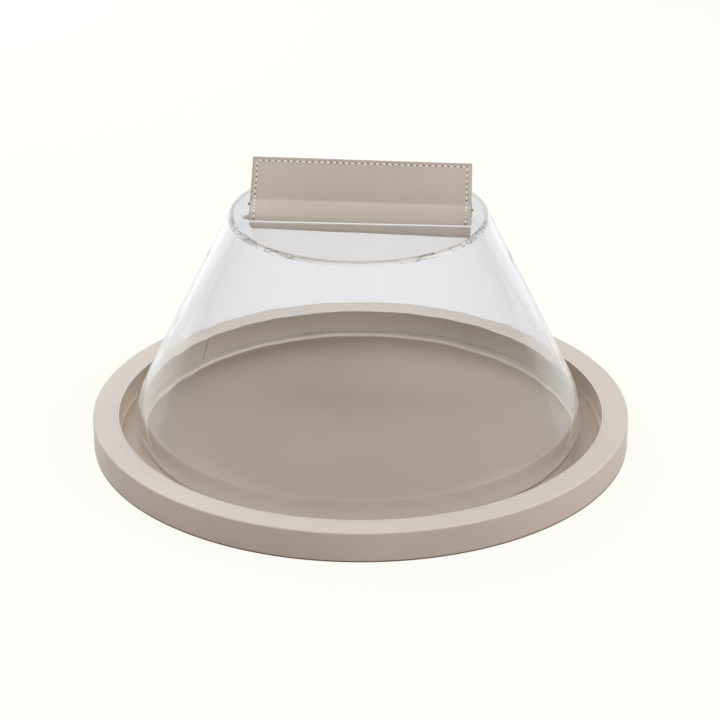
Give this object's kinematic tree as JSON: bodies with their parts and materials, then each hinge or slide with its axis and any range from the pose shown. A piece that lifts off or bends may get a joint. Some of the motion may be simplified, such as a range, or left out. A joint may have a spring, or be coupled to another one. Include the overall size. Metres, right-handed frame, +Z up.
{
  "type": "food cover",
  "caption": "Clear cone-shaped food cover with a stitched leather handle, standing in a round leather-wrapped tray.",
  "frame": {"origin": "middle of the tray's underside, on the table", "axes": "+Z up, X along the handle, -Y towards the front"},
  "size_m": [0.3524, 0.3524, 0.1909],
  "materials": {
    "taupe_leather": "fine grain, semi-matte",
    "clear_acrylic": "polished clear",
    "board": "raw fibreboard",
    "brown_felt": "dense felt",
    "screw_steel": "zinc plated",
    "thread": "waxed thread",
    "dark_cord": "round cord"
  },
  "bodies": {
    "tray": {"base_board": "board", "rim_core": "board", "rim_screws": "screw_steel", "rim_leather": "taupe_leather", "wall_lining": "taupe_leather", "floor_leather": "taupe_leather", "underside_felt": "brown_felt"},
    "cover": {"cone_shell": "clear_acrylic", "top_disc": "clear_acrylic", "handle_front_leather": "taupe_leather", "handle_back_leather": "taupe_leather", "handle_stiffener": "board", "handle_filler_cord": "dark_cord", "front_hem_rod": "screw_steel", "back_hem_rod": "screw_steel", "handle_stitching": "thread"}
  },
  "joints": [
    {"name": "cover_lift", "type": "slide", "parent": "tray", "child": "cover", "axis": [0, 0, 1], "range_m": [0, 0.25]}
  ]
}
